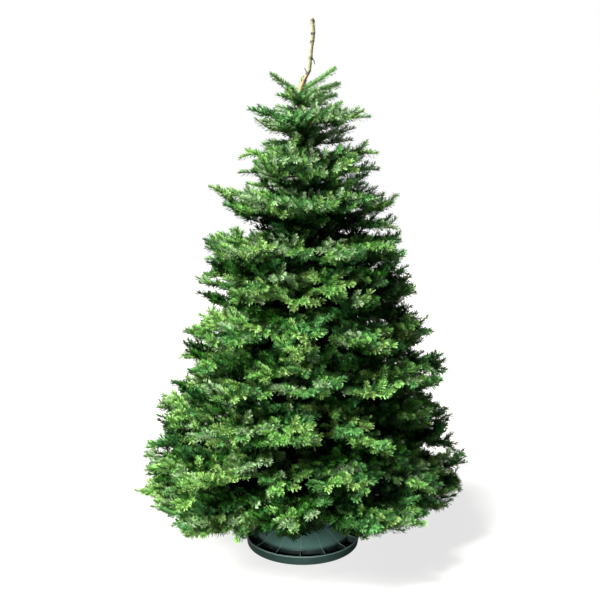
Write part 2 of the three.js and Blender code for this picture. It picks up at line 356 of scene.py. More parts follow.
# Its last colour is the dome's paler top, a painted light on the same plastic.
dish_green = moulded_plastic("stand_green_plastic", (0.056, 0.115, 0.100), (0.14, 0.23, 0.21), (0.20, 0.41, 0.36))
dome_radii = np.linspace(DOME_EDGE - 0.002, COLLAR + 0.002, 9)
dish_outline = rounded(
    [
        (FOOT, 0),
        (DISH_RIM - 0.0005, RIM_HEIGHT - BEAD),
        (DISH_RIM + BEAD * 0.7, RIM_HEIGHT - BEAD),
        (DISH_RIM + BEAD * 0.7, RIM_HEIGHT + BEAD * 0.7),
        (DISH_RIM - WALL, RIM_HEIGHT + BEAD * 0.7),
        (FOOT - WALL, CHANNEL_FLOOR),
        (CHANNEL, CHANNEL_FLOOR),
        (CHANNEL - 0.001, DOME_EDGE_HEIGHT - 0.003),
        *[(r, dome_height(r)) for r in dome_radii],
        (CUP_SIDE + 0.0004, DISH_TOP),
        (CUP_SIDE + 0.0004, DISH_TOP - WALL),
        *[(r, dome_height(r) - WALL) for r in dome_radii[::-1]],
        (DOME_EDGE - WALL, 0),
    ],
    radius=0.0025,
)
stand_in(new_object("dish", turned(dish_outline, 180), dish_green), "stand_plastic", "stand_dish")

# A ring over the rim's bead, carrying the painted highlight.
bead_middle = (DISH_RIM - 0.0013, RIM_HEIGHT)
bead_outline = [
    (bead_middle[0] + 1.7 * BEAD * math.cos(math.tau * i / 12), bead_middle[1] + 1.15 * BEAD * math.sin(math.tau * i / 12))
    for i in range(12)
]
stand_in(new_object("dish_bead", turned(bead_outline, 180), painted_highlight_green), "stand_plastic", "stand_dish")

round_the_axis = ring_tree()
web_outline = [
    (DISH_RIM - WALL - 0.0005, CHANNEL_FLOOR - 0.001, RIM_HEIGHT - 0.001),
    (CHANNEL, CHANNEL_FLOOR - 0.001, DOME_EDGE_HEIGHT - 0.004),
    *[(r, dome_height(r) - 0.002, dome_height(r) + 0.0014) for r in np.linspace(DOME_EDGE, COLLAR, 9)],
]
webs = grown(
    new_object("dish_webs", rib(web_outline, 0.003, 0.0018)),
    round_the_axis,
    {"Count": WEBS, "First angle": FIRST_WEB, "Material": dish_green},
)
stand_in(webs, "stand_plastic", "stand_dish")
# Strips on the webs' top edges, carrying the painted highlight.
web_edge_outline = [
    (DISH_RIM - WALL - 0.0005, RIM_HEIGHT - 0.0018, RIM_HEIGHT - 0.0002),
    (CHANNEL, DOME_EDGE_HEIGHT - 0.0048, DOME_EDGE_HEIGHT - 0.0032),
    *[(r, dome_height(r) + 0.0004, dome_height(r) + 0.0022) for r in np.linspace(DOME_EDGE, COLLAR, 9)],
]
web_edges = grown(
    new_object("dish_web_edges", rib(web_edge_outline, 0.0022, 0.0020)),
    round_the_axis,
    {"Count": WEBS, "First angle": FIRST_WEB, "Material": painted_highlight_green},
)
stand_in(web_edges, "stand_plastic", "stand_dish")
rib_outline = [(r, dome_height(r) - 0.001, dome_height(r) + 0.0006) for r in np.linspace(DOME_EDGE, COLLAR, 9)]
ribs = grown(
    new_object("dish_ribs", rib(rib_outline, 0.0013, 0.0007)),
    round_the_axis,
    {"Count": FINE_RIBS, "First angle": FIRST_WEB, "Material": dish_green},
)
stand_in(ribs, "stand_plastic", "stand_dish")


# ---- Stand cup ----
# The water cup that holds the butt of the trunk, given a darker green than the dish as painted shade. Its flange
# rests on the dome, a bead stiffens its mouth, and four bosses near the mouth carry the clamp screws.

CUP_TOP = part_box("stand_cup")[1].z
CUP_WALL = 0.006
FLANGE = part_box("stand_cup")[1].x
FLANGE_TOP = DISH_TOP + 0.005
SCREW_HEIGHT = (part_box("clamp_screw_1")[0].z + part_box("clamp_screw_1")[1].z) / 2
SCREWS = 4
FIRST_SCREW = math.radians(45)


def rod(radius, start, end, segments=24, chamfer=0.0008, height=0.0, wave=None):
    """A solid bar along +X between two distances, with chamfered ends. wave adds relief to its radius."""
    steps = 2 if wave is None else round((end - start) / 0.0003)
    places = [start, start + chamfer, *np.linspace(start + chamfer, end - chamfer, steps)[1:-1], end - chamfer, end]
    mesh = bpy.data.meshes.new("rod")
    build = bmesh.new()
    rows = []
    for i, x in enumerate(places):
        reach = radius - chamfer if i in (0, len(places) - 1) else radius
        row = []
        for k in range(segments):
            angle = math.tau * k / segments
            out = reach + (wave(x, angle) if wave else 0)
            row.append(build.verts.new((x, out * math.cos(angle), height + out * math.sin(angle))))
        rows.append(row)
    for one, two in zip(rows, rows[1:]):
        for k in range(segments):
            build.faces.new([one[k], two[k], two[(k + 1) % segments], one[(k + 1) % segments]])
    build.faces.new(rows[0])
    build.faces.new(rows[-1])
    bmesh.ops.recalc_face_normals(build, faces=build.faces)
    build.to_mesh(mesh)
    build.free()
    return mesh


def joined(name, meshes):
    """One mesh out of several."""
    build = bmesh.new()
    for mesh in meshes:
        build.from_mesh(mesh)
        bpy.data.meshes.remove(mesh)
    result = bpy.data.meshes.new(name)
    build.to_mesh(result)
    build.free()
    return result


# Painted shade: a much darker green than the dish's, for the crown's shadow that the cup stands in.
cup_painted_shade_green = moulded_plastic("cup_painted_shade_plastic", (0.016, 0.042, 0.036), (0.08, 0.12, 0.11))
cup_outline = rounded(
    [
        (0, 0.0005),
        (CUP_SIDE, 0.0005),
        (CUP_SIDE, DISH_TOP + 0.0004),
        (FLANGE, DISH_TOP + 0.0004),
        (FLANGE, FLANGE_TOP),
        (CUP_SIDE, FLANGE_TOP + 0.001),
        (CUP_SIDE, CUP_TOP - 0.007),
        (CUP_SIDE + 0.004, CUP_TOP - 0.006),
        (CUP_SIDE + 0.004, CUP_TOP),
        (CUP_SIDE - CUP_WALL, CUP_TOP),
        (CUP_SIDE - CUP_WALL, CUP_WALL),
        (0, CUP_WALL),
    ],
    radius=0.0015,
    open_ends=True,
)
stand_in(new_object("cup", turned(cup_outline, 120, closed=False), cup_painted_shade_green), "stand_plastic", "stand_cup")
boss = rod(0.009, CUP_SIDE - 0.002, CUP_SIDE + 0.009, chamfer=0.001, height=SCREW_HEIGHT)
bosses = grown(
    new_object("cup_bosses", boss),
    round_the_axis,
    {"Count": SCREWS, "First angle": FIRST_SCREW, "Material": cup_painted_shade_green},
)
stand_in(bosses, "stand_plastic", "stand_cup")


# ---- Clamp screws ----
# Four zinc-plated steel eye bolts with rolled threads, each turned by a cross bar and bearing on the trunk
# through a round pad.

SCREW_RADIUS = 0.004
SCREW_PITCH = 0.0018
THREAD_DEPTH = 0.0005
HANDLE_REACH = max(abs(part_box("clamp_screw_1")[1].x), abs(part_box("clamp_screw_1")[1].y))
SCREW_OUT = 0.124
SCREW_IN = 0.0475


def thread(x, angle):
    """The rolled thread's ridge, as a height over the screw's core."""
    turns = x / SCREW_PITCH - angle / math.tau
    return THREAD_DEPTH * (abs(2 * (turns % 1) - 1) - 0.5)


def across(mesh, x):
    """Turns a bar that lies along +X to lie across the screw at x."""
    for vertex in mesh.vertices:
        along, side, up = vertex.co
        vertex.co = (x + side, -along, up)
    return mesh


def zinc_plate():
    """Bright zinc: cloudy roughness, a faint yellow passivation and some rust freckles."""
    material, net, shader = surface("zinc_plated_steel", Metallic=1.0)
    tarnish = net.add("ShaderNodeMapRange", {}, {"Value": cloud(net, 180), "From Min": 0.45, "From Max": 0.75})
    net.join(blend_colors(net, tarnish, (0.56, 0.56, 0.54), (0.42, 0.37, 0.28)), shader.inputs["Base Color"])
    net.join(0.28 + tarnish * 0.3, shader.inputs["Roughness"])
    bump(net, shader, cloud(net, 1400, 2.0), 0.2, 0.0002)
    return material


screw = joined(
    "screw",
    [
        rod(SCREW_RADIUS, SCREW_IN + 0.001, SCREW_OUT, 16, height=SCREW_HEIGHT, wave=thread),
        rod(0.007, SCREW_IN, SCREW_IN + 0.004, 24, height=SCREW_HEIGHT),
        across(rod(SCREW_RADIUS, -0.023, 0.023, 16, 0.0015, SCREW_HEIGHT), SCREW_OUT),
    ],
)
screws = grown(
    new_object("clamp_screws", screw),
    round_the_axis,
    {"Count": SCREWS, "First angle": FIRST_SCREW, "Material": zinc_plate()},
)
stand_in(screws, "screw_steel", *[f"clamp_screw_{i + 1}" for i in range(SCREWS)])


# ---- Trunk ----
# One whole stem from the saw cut in the cup to the tip of the bare leader. The bark is smooth and grey-brown
# with resin blisters and swollen collars at the whorls, orange-tan under the top whorl and pale olive above.

TIERS = sorted({int(name.split("_")[2]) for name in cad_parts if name.startswith("needles_tier_")})
SIDES = 60
RING_STEP = 0.0035
LEADER_FOOT = 1.735
# Scars of the leader's lost shoots: height, angle round the leader, and how far each stands out.
LEADER_SCARS = [(1.989, 0.4, 0.0030), (1.944, 3.0, 0.0024), (1.915, 2.6, 0.0018), (1.858, 0.2, 0.0028)]
LEADER_SCARS += [(1.806, 2.9, 0.0018), (1.779, 1.0, 0.0022)]
LEADER_SWELL = 1.55
LEADER_PEGS = 110
PEG_LENGTH = 0.0042
# Two dead stubs on the leader: their points from foot to tip.
LEADER_STUBS = [[(0.030, 1.853), (0.036, 1.855), (0.041, 1.848), (0.043, 1.836)], [(0.019, 1.803), (0.012, 1.812), (0.006, 1.823)]]

trunk_points = np.array([v.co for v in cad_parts["trunk"].data.vertices])
trunk_heights = np.unique(np.round(trunk_points[:, 2], 4))
trunk_rings = [trunk_points[abs(trunk_points[:, 2] - z) < 3e-4] for z in trunk_heights]
trunk_centres = np.array([(ring.min(0) + ring.max(0)) / 2 for ring in trunk_rings])
trunk_radii = np.array([np.ptp(ring[:, 1]) / 2 for ring in trunk_rings])


def trunk_centre(z):
    """Where the trunk's middle is at a height."""
    return np.interp(z, trunk_heights, trunk_centres[:, 0])


def trunk_radius(z):
    return np.interp(z, trunk_heights[:-1], trunk_radii[:-1])


def whorl_height(tier):
    """The height at which a tier's boughs leave the trunk: where its masses come nearest to the trunk."""
    names = [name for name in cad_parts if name.startswith(f"needles_tier_{tier}_")]
    points = np.array([v.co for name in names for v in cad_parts[name].data.vertices])
    near = points[np.hypot(points[:, 0], points[:, 1]).argsort()[:24]]
    return near[:, 2].mean()


whorl_heights = {tier: whorl_height(tier) for tier in TIERS}


def bark_relief(place, radius, z):
    """Plates and blisters on the trunk, the collars at its whorls and the scars on its leader."""
    if z > LEADER_FOOT:
        return 0.0005 * noise.noise(Vector((place.x * 300, place.y * 300, z * 90)))
    plates = noise.fractal(Vector((place.x * 60, place.y * 60, z * 26)), 0.9, 2.1, 4)
    blister = max(0.0, noise.noise(Vector((place.x * 120, place.y * 120, z * 150))) - 0.45)
    collar = sum(math.exp(-(((z - height) / 0.016) ** 2)) for height in whorl_heights.values())
    return 0.035 * radius * plates + 0.004 * blister + 0.05 * radius * collar


def scars_at(z, angle):
    """How strongly a spot of the leader belongs to a scar, and how far it stands out there."""
    mark = 0.0
    out = 0.0
    for height, around, size in LEADER_SCARS:
        along = math.exp(-(((z - height) / 0.0055) ** 2))
        facing = 0.5 + 0.5 * math.cos(angle - around)
        mark = max(mark, along * (0.35 + 0.65 * facing))
        out += size * along * facing**2
    return mark, out


def trunk_mesh():
    """The trunk as rings of bark, closed by the saw cut below and a blunt tip above."""
    foot, top = trunk_heights[0], trunk_heights[-1]
    heights = np.linspace(foot, top - 0.0015, round((top - foot) / RING_STEP))
    mesh = bpy.data.meshes.new("trunk_bark")
    build = bmesh.new()
    scar_layer = build.verts.layers.float.new("scar")
    rings = []
    for z in heights:
        centre = trunk_centre(z)
        radius = trunk_radius(z) * (1 if z < top - 0.01 else 0.92)
        radius *= 1 + (LEADER_SWELL - 1) * min(1.0, max(0.0, (z - LEADER_FOOT) / 0.05))
        ring = []
        for k in range(SIDES):
            angle = math.tau * k / SIDES
            around = Vector((radius * math.cos(angle), radius * math.sin(angle), 0))
            mark, out = scars_at(z, angle) if z > LEADER_FOOT - 0.02 else (0, 0)
            reach = radius + bark_relief(around, radius, z) + out
            vertex = build.verts.new((centre + reach * math.cos(angle), reach * math.sin(angle), z))
            vertex[scar_layer] = mark
            ring.append(vertex)
        rings.append(ring)
    for low, high in zip(rings, rings[1:]):
        for k in range(SIDES):
            build.faces.new([low[k], low[(k + 1) % SIDES], high[(k + 1) % SIDES], high[k]])
    for ring, height in ((rings[0], foot), (rings[-1], top)):
        middle = build.verts.new((trunk_centre(height), 0, height))
        for k in range(SIDES):
            build.faces.new([ring[k], ring[(k + 1) % SIDES], middle])
    bmesh.ops.recalc_face_normals(build, faces=build.faces)
    for face in build.faces:
        face.smooth = True
    build.to_mesh(mesh)
    build.free()
    return mesh


def bark(name):
    """Fir bark: grey-brown low down, orange-tan under the top whorl, olive on the leader, dark at the scars."""
    material, net, shader = surface(name, Specular_IOR_Level=0.3)
    height = net.add("ShaderNodeSeparateXYZ", {}, {"Vector": object_place(net)}, "Z")
    mottle = cloud(net, 70, 5.0, 0.65)
    grey = blend_colors(net, mottle, (0.075, 0.052, 0.034), (0.21, 0.165, 0.12))
    orange = blend_colors(net, mottle, (0.24, 0.145, 0.085), (0.50, 0.35, 0.23))
    olive = blend_colors(net, mottle, (0.19, 0.19, 0.10), (0.50, 0.50, 0.34))
    reddens = ((height + mottle * 0.05 - 1.56) / 0.12).clamped()
    ripens = ((height + mottle * 0.02 - 1.80) / 0.03).clamped()
    color = blend_colors(net, ripens, blend_colors(net, reddens, grey, orange), olive)
    scar = net.add("ShaderNodeAttribute", {"attribute_name": "scar"}, output="Fac")
    color = blend_colors(net, (scar * 1.3).clamped(), color, (0.035, 0.028, 0.018))
    net.join(color, shader.inputs["Base Color"])
    net.join(0.72 + mottle * 0.2, shader.inputs["Roughness"])
    bump(net, shader, cloud(net, 420, 6.0, 0.7) + mottle * 0.5, 0.5, 0.0012)
    return material


trunk_bark = bark("fir_bark")
stand_in(new_object("trunk_bark", trunk_mesh(), trunk_bark), "bark", "trunk")


# ---- Boughs and twigs ----
# Each tier is a few layers of boughs, with short ones between them. A bough follows the room that its tier's
# masses give it, side limbs leave it in pairs, and twigs leave those in the same way, in one flat spray.

# Layers of boughs in a tier: shares of its depth at their feet and tips, share of its reach, and boughs as a
# share of a full whorl. The last layer fills the gap below the tier.
LAYERS = [(0.74, 0.66, 1.01, 1.0), (0.22, 0.10, 1.03, 1.0), (0.55, 0.48, 0.74, 0.4), (-0.60, -0.42, 0.97, 1.0)]
SLIGHT_LAYERS = [(0.66, 0.62, 0.99, 1.0), (0.42, 0.36, 0.86, 0.8), (0.10, 0.06, 1.00, 1.0), (-0.42, -0.26, 0.84, 1.0)]
OWN_LAYERS = {
    2: [(0.46, 0.40, 0.78, 1.0), (0.14, 0.08, 0.86, 1.0), (-0.22, -0.18, 0.72, 1.0), (-0.55, -0.45, 0.56, 1.0)],
    3: [*SLIGHT_LAYERS, (-0.80, -0.58, 0.68, 1.0)],
    4: [(0.60, 0.50, 0.90, 1.0), *SLIGHT_LAYERS[1:3], (-0.28, -0.20, 0.78, 1.2), (-0.60, -0.46, 0.52, 1.0)],
    5: [(0.22, 0.50, 1.00, 1.2), (0.10, 0.05, 1.05, 1.0), (-0.60, -0.34, 0.98, 1.1)],
    10: [(0.66, 0.48, 0.88, 1.0), (0.22, 0.08, 0.96, 1.0), (0.50, 0.40, 0.70, 0.4), (-0.60, -0.40, 0.94, 1.0)],
    11: [LAYERS[0], (0.22, 0.10, 0.98, 1.0), LAYERS[2], (0.04, -0.06, 0.94, 1.0), (-0.12, -0.30, 0.85, 1.2)],
}
FEWEST = 4.3  # boughs in a full whorl of no reach, and how many more for each metre of reach
MORE = 13.2
WHORL_ORDER = 3  # boughs, side limbs and twigs are of orders 0 to 2
INNER_ORDER = 4
TURN = 2.39996  # from one layer's first bough to the next layer's
LIMB_STEP = 0.012
FIRST_PAIR = 0.046  # from a limb's tip to its first pair of side shoots
TOP_VIGOUR = 0.030  # how much longer those tips are at the top of the tree
PAIR_STEP = 0.050  # between further pairs, more on older wood
SIDE_SHARE = [0.60, 0.52]  # a side limb's length as a share of what its parent still grows
SIDE_LEAST = 0.027  # and what it has over that share
SIDE_ANGLE = [54, 49]
SHORTEST = 0.050
BEARING = 0.29  # how far back from its tip a bough bears side limbs
TILT = 0.34  # the steepest sideways slope of a spray
SHADED_BELOW = -0.15  # the share of the depth under which a bough is in the shade
LAST_OPEN_TIER = 3  # under the tiers down to this one, boughs get no painted shade
DISH_SHADE = math.radians(24)  # the lowest boughs are painted in shade too, this far to each side of the dish's front
MARKED_SPREAD = 0.30
LOWEST_INNER = 0.20
INNER_STEP = 0.065  # between the short dark shoots on a bough's older wood
TIP_THICKNESS = 0.0012
THICKENING = 0.0105  # radius gained for each metre back from a limb's tip
AROUND = 90
OUTWARD = 60
FARTHEST = 0.75

GROWTH_SEED = 3700
# Single boughs that stand out in the crown's outline: tier, bearing, share of the reach, height of the tip.
MARKED_BOUGHS = [
    (4, -8, 0.98, 1.269),
    (4, 178, 0.97, 1.388),
    (5, 2, 0.97, 1.222),
    (5, 176, 1.02, 1.139),
    (6, 2, 1.02, 1.011),
    (7, 3, 1.02, 0.838),
    (7, 182, 1.00, 0.862),
    (8, -4, 0.99, 0.772),
    (8, -13, 1.04, 0.690),
    (9, 2, 1.00, 0.496),
    (9, 181, 0.95, 0.560),
    (10, 178, 0.93, 0.279),
    (10, -1, 0.98, 0.340),
    (11, 184, 1.01, 0.220),
    (11, -136, 0.97, 0.238),
    (11, -129, 0.98, 0.225),
    (11, -121, 0.99, 0.236),
    (11, -113, 0.98, 0.264),
    (11, -66, 1.00, 0.266),
    (11, -58, 0.98, 0.284),
]
HEM_RISE = 0.03  # the lowest tier's boughs hang less on the right

chance = random.Random(GROWTH_SEED)


class Room:
    """The space that a tier's masses hold: its underside and top on a grid of angle and radius."""

    def __init__(self, names):
        points = []
        faces = []
        for name in names:
            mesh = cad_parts[name].data
            faces += [[len(points) + i for i in polygon.vertices] for polygon in mesh.polygons]
            points += [vertex.co.copy() for vertex in mesh.vertices]
        body = BVHTree.FromPolygons(points, faces)
        self.low = np.full((AROUND, OUTWARD), np.nan)
        self.high = np.full((AROUND, OUTWARD), np.nan)
        for i in range(AROUND):
            for j in range(OUTWARD):
                angle = math.tau * i / AROUND
                radius = FARTHEST * j / OUTWARD
                x, y = radius * math.cos(angle), radius * math.sin(angle)
                above = body.ray_cast(Vector((x, y, 3)), Vector((0, 0, -1)))[0]
                below = body.ray_cast(Vector((x, y, -1)), Vector((0, 0, 1)))[0]
                if above:
                    self.high[i, j] = above.z
                    self.low[i, j] = below.z
        filled = ~np.isnan(self.high)
        self.reach = np.array([FARTHEST * (np.nonzero(row)[0].max(initial=0) + 0.5) / OUTWARD for row in filled])
        self.reach = np.maximum.reduce([np.roll(self.reach, k) for k in (-1, 0, 1)])
        for heights in (self.low, self.high):
            for i in range(AROUND):
                known = np.nonzero(~np.isnan(heights[i]))[0]
                if len(known) > 3:
                    heights[i] = np.interp(np.arange(OUTWARD), known, heights[i][known])
            bare = np.isnan(heights[:, 0])
            heights[bare] = np.nanmean(heights, axis=0)

    def at(self, table, x, y):
        """A table's value at places round the trunk."""
        angle = (np.arctan2(y, x) / math.tau * AROUND) % AROUND
        radius = np.minimum(np.hypot(x, y) / FARTHEST * OUTWARD, OUTWARD - 1.001)
        i, j = angle.astype(int) % AROUND, radius.astype(int)
        u, v = angle - angle.astype(int), radius - j
        near = table[i, j] * (1 - v) + table[i, j + 1] * v
        far = table[(i + 1) % AROUND, j] * (1 - v) + table[(i + 1) % AROUND, j + 1] * v
        return near * (1 - u) + far * u

    def level(self, x, y, share):
        """The height of a layer at places round the trunk."""
        x, y = np.asarray(x, float), np.asarray(y, float)
        low, high = self.at(self.low, x, y), self.at(self.high, x, y)
        return low + share * (high - low)

    def limit(self, angle):
        """How far the tier reaches at angles."""
        place = (np.asarray(angle) / math.tau * AROUND) % AROUND
        i = place.astype(int) % AROUND
        u = place - place.astype(int)
        return self.reach[i] * (1 - u) + self.reach[(i + 1) % AROUND] * u


class Limb:
    """One bough, side limb or twig: its line from foot to tip, and the spray that it belongs to."""

    def __init__(self, points, order, spray, room, share):
        self.points = points
        self.order = order
        self.spray = spray
        self.room = room
        self.share = share
        lengths = np.linalg.norm(np.diff(points, axis=0), axis=1)
        self.to_tip = np.concatenate((np.cumsum(lengths[::-1])[::-1], [0]))
        self.length = self.to_tip[0]

    def place(self, to_tip):
        """The point at a distance from the tip, and the limb's bearing there."""
        back = self.to_tip[::-1]
        spot = np.array([np.interp(to_tip, back, self.points[::-1, k]) for k in range(3)])
        ahead = np.array([np.interp(to_tip - 0.01, back, self.points[::-1, k]) for k in range(2)])
        behind = np.array([np.interp(to_tip + 0.01, back, self.points[::-1, k]) for k in range(2)])
        return spot, math.atan2(ahead[1] - behind[1], ahead[0] - behind[0])


def side_line(start, bearing, length, room, share, rise):
    """The line of a side limb. It keeps level with its layer, turns a little outward and lifts its tip."""
    steps = max(3, round(length / LIMB_STEP))
    along = np.linspace(0, length, steps + 1)
    outward = math.remainder(math.atan2(start[1], start[0]) - bearing, math.tau)
    bearings = bearing + (0.22 * outward + chance.uniform(-0.12, 0.12)) * along / length
    x = start[0] + np.concatenate(([0], np.cumsum(np.cos(bearings[:-1])))) * length / steps
    y = start[1] + np.concatenate(([0], np.cumsum(np.sin(bearings[:-1])))) * length / steps
    level = room.level(x, y, share)
    lift = 0.16 * length * (along / length) ** 2
    z = start[2] + 0.85 * (level - level[0]) + rise * along + lift
    inside = np.hypot(x, y) < 1.05 * room.limit(np.arctan2(y, x))
    kept = max(3, int(np.argmin(inside)) if not inside.all() else len(x))
    return np.column_stack((x, y, z))[:kept]


def grow(limb, limbs, spread, tilt):
    """Adds a limb and, in pairs from its tip back, the side limbs that it bears."""
    limbs.append(limb)
    order = limb.order
    if order == len(SIDE_SHARE):
        return
    vigour = min(1.0, max(0.0, (limb.points[0, 2] - 0.95) / 0.45))
    to_tip = (FIRST_PAIR + TOP_VIGOUR * vigour) * chance.uniform(0.85, 1.15)
    while to_tip < min(0.94 * limb.length, BEARING):
        for side in (-1, 1):
            at = min(to_tip + chance.uniform(-0.009, 0.009), 0.97 * limb.length)
            start, bearing = limb.place(at)
            radius = math.hypot(start[0], start[1])
            room_aside = spread * radius if order == 0 else 1.0
            length = min(SIDE_LEAST + SIDE_SHARE[order] * at, room_aside) * chance.uniform(0.82, 1.14)
            if length < SHORTEST or radius < 0.05:
                continue
            turn = math.radians(SIDE_ANGLE[order] + chance.uniform(-8, 8))
            share = min(0.95, max(0.06, limb.share + chance.uniform(-0.1, 0.1)))
            rise = chance.uniform(-0.12, 0.18) + (side * tilt if order == 0 else 0)
            line = side_line(start, bearing + side * turn, length, limb.room, share, rise)
            spray = limb.spray if order else limb.spray + chance.random()
            grow(Limb(line, order + 1, spray, limb.room, share), limbs, spread, tilt)
        if order < 2 and chance.random() < 0.3:
            start, bearing = limb.place(to_tip + 0.015)
            length = chance.uniform(0.04, 0.065)
            steps = np.linspace(0, length, 5)
            climb = math.radians(chance.uniform(30, 65))
            aside = bearing + chance.uniform(-0.5, 0.5)
            run = np.cos(climb) * steps
            line = np.column_stack((np.cos(aside) * run, np.sin(aside) * run, np.sin(climb) * steps)) + start
            limbs.append(Limb(line, len(SIDE_SHARE), limb.spray, limb.room, limb.share))
        to_tip += (PAIR_STEP + 0.055 * to_tip) * chance.uniform(0.88, 1.12)


def bough_line(room, foot, angle, share, tip_share, reach_share, lift):
    """The line of a bough, from the heart of the trunk to the edge of its tier."""
    reach = float(room.limit(angle)) * reach_share
    steps = round(reach / LIMB_STEP)
    out = np.linspace(0, 1, steps + 1)
    sway = angle + chance.uniform(-0.07, 0.07) * np.sin(math.pi * out)
    x = trunk_centre(foot) * (1 - out) + out * reach * np.cos(sway)
    y = out * reach * np.sin(sway)
    level = room.level(x, y, share + (tip_share - share) * out)
    width = 5
    padded = np.pad(level, width, mode="edge")
    level = np.convolve(padded, np.ones(2 * width + 1) / (2 * width + 1), mode="valid")
    ripple = 0.006 * np.sin(out * chance.uniform(5, 9) + chance.uniform(0, 6)) * out
    return np.column_stack((x, y, level + ripple + lift * out**2.5))


limbs = []
painted_shade_boughs = set()  # the boughs painted in shade: under their own tier, and the lowest over the dish's front
rooms = {}


def grow_bough(room, foot, angle, share, tip_share, reach_share, lift, spread):
    """Adds a bough with all that it bears, and the short shoots on its older wood, whose needles are painted dark as
    shade.
    """
    line = bough_line(room, foot, angle, share, tip_share, reach_share, lift)
    bough = Limb(line, 0, len(limbs), room, tip_share)
    grow(bough, limbs, spread, chance.uniform(-TILT, TILT))
    for to_tip in np.arange(min(BEARING, 0.55 * bough.length), bough.length - 0.06, INNER_STEP):
        start, bearing = bough.place(to_tip)
        aside = bearing + math.radians(chance.choice([-1, 1]) * chance.uniform(30, 75))
        slope = math.tan(math.radians(chance.uniform(-40, 50)))
        out = np.linspace(0, chance.uniform(0.09, 0.15), 5)
        line = start + np.column_stack((np.cos(aside) * out, np.sin(aside) * out, slope * out))
        end_reach = float(room.limit(math.atan2(line[-1, 1], line[-1, 0])))
        if math.hypot(line[-1, 0], line[-1, 1]) < 0.6 * end_reach and line[-1, 2] > LOWEST_INNER:
            limbs.append(Limb(line, INNER_ORDER, bough.spray, room, bough.share))


for tier in TIERS:
    chance.seed(GROWTH_SEED + tier)
    room = rooms[tier] = Room([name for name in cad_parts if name.startswith(f"needles_tier_{tier}_")])
    whorl = FEWEST + MORE * room.reach.mean()
    for layer, (share, tip_share, reach_share, crowd) in enumerate(OWN_LAYERS.get(tier, LAYERS)):
        count = round(whorl * crowd)
        first = TURN * (5 * tier + layer)
        for i in range(count):
            angle = first + math.tau * (i + chance.uniform(-0.22, 0.22)) / count
            drop = chance.uniform(-0.12, 0.12)
            long = reach_share * chance.uniform(0.95, 1.04)
            lift = chance.uniform(-0.03, 0.02) + (HEM_RISE * max(0.0, math.cos(angle)) if tier == TIERS[-1] else 0)
            spread = 1.1 * math.pi / count
            # Boughs low under their tier, and the lowest ones over the dish's front, are painted in shade: old greens
            # on their tips and the near-black inner green behind.
            under_tier = share + drop < SHADED_BELOW and LAST_OPEN_TIER < tier < TIERS[-1]
            from_front = abs(math.remainder(angle + math.pi / 2, math.tau))
            over_dish = tier == TIERS[-1] and share < LAYERS[0][0] and from_front < DISH_SHADE
            if under_tier or over_dish:
                painted_shade_boughs.add(len(limbs))
            grow_bough(room, whorl_heights[tier], angle, share + drop, tip_share + drop, long, lift, spread)
for tier, bearing, reach_share, tip_height in MARKED_BOUGHS:
    room, angle = rooms[tier], math.radians(bearing)
    reach = float(room.limit(angle)) * reach_share
    lift = tip_height - float(room.level(reach * math.cos(angle), reach * math.sin(angle), 0.0))
    share = min(0.6, max(-0.4, 5 * lift))
    grow_bough(room, whorl_heights[tier], angle, share, 0.0, reach_share, lift, MARKED_SPREAD)

# The top whorl is this year's: single shoots, each given by its bearing, its reach and the height of its tip.
# The leading shoots of the whorl below it have a few side shoots. Short ones sit all round the stem.
WHORL_SHOOTS = [(3, 0.114, 1.818), (172, 0.113, 1.800), (-18, 0.134, 1.760), (88, 0.110, 1.795), (-118, 0.085, 1.745)]
WHORL_SHOOTS += [(20, 0.104, 1.742), (-172, 0.070, 1.722), (130, 0.085, 1.745), (-60, 0.090, 1.738), (-6, 0.118, 1.724)]
LEADING_SHOOTS = [(6, 0.248, 1.650), (176, 0.196, 1.677), (63, 0.215, 1.668), (118, 0.190, 1.650), (-50, 0.215, 1.650)]
LEADING_SHOOTS += [(-112, 0.190, 1.640), (14, 0.142, 1.696), (-24, 0.150, 1.692), (42, 0.140, 1.694), (-70, 0.130, 1.690)]
LEADING_FOOT = 1.632
STEM_SHOOTS = 104
STEM_SHOOT_STEP = 0.0060


def shoot_line(foot, bearing, reach, height):
    """The line of a shoot that leaves the stem low and rises towards its tip."""
    start = np.array([trunk_centre(foot), 0, foot])
    tip = np.array([reach * math.cos(math.radians(bearing)), reach * math.sin(math.radians(bearing)), height])
    out = np.linspace(0, 1, 14)[:, None]
    return start + (tip - start) * out - np.array([0, 0, 0.06 * (height - foot)]) * np.sin(math.pi * out)


star = Room(["needles_top_whorl"])
for i, shoot in enumerate(WHORL_SHOOTS):
    limbs.append(Limb(shoot_line(LEADER_FOOT + 0.004 - 0.006 * i, *shoot), WHORL_ORDER, i, star, 0.5))
for i, shoot in enumerate(LEADING_SHOOTS):
    line = shoot_line(LEADING_FOOT - 0.004 * i, *shoot)
    grow(Limb(line, len(SIDE_SHARE) - 1, len(limbs), rooms[TIERS[0]], 0.6), limbs, 1.0, 0.0)
for i in range(STEM_SHOOTS):
    foot = LEADER_FOOT - 0.008 - STEM_SHOOT_STEP * i
    angle = TURN * i
    long = chance.uniform(0.060, 0.095) * (1 + 1.5 * (LEADER_FOOT - foot))
    out = np.linspace(0, long, 8)
    rise = chance.uniform(0.1, 0.6) * out
    line = np.column_stack((trunk_centre(foot) + out * math.cos(angle), out * math.sin(angle), foot + rise))
    limbs.append(Limb(line, len(SIDE_SHARE), len(limbs), star, 0.5))
print("limbs", len(limbs), "metres", round(sum(limb.length for limb in limbs), 1))
print({k: round(sum(l.length for l in limbs if l.order == k), 1) for k in range(5)})


